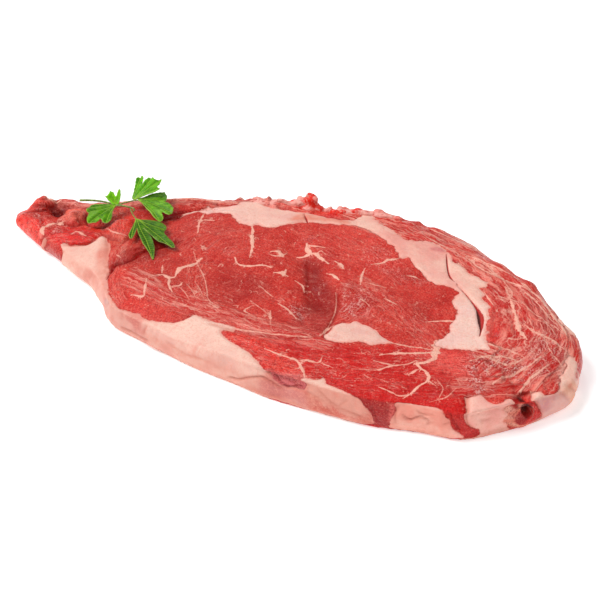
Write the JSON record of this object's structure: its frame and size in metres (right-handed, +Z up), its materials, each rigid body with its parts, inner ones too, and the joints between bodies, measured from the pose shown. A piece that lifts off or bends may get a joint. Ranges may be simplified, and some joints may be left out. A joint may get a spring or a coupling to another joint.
{
  "type": "raw ribeye steak",
  "caption": "Raw boneless ribeye steak lying flat, with an eye, a fat seam, a cap, a ragged thin tail and a sprig of flat-leaf parsley laid on the tail.",
  "frame": {"origin": "under the middle of the steak's bounding box, on the surface it lies on", "axes": "+X along the steak from the thin tail to the broad cap end, +Y across it to the torn back rim, +Z up out of the cut face"},
  "size_m": [0.2411, 0.1232, 0.0215],
  "materials": {
    "raw_beef": "moist raw beef with cream-pink fat and fine marbling",
    "parsley_leaf": "satin fresh green leaf with paler veins"
  },
  "bodies": {
    "root": {"steak": "raw_beef", "parsley_sprig": "parsley_leaf"}
  },
  "joints": []
}
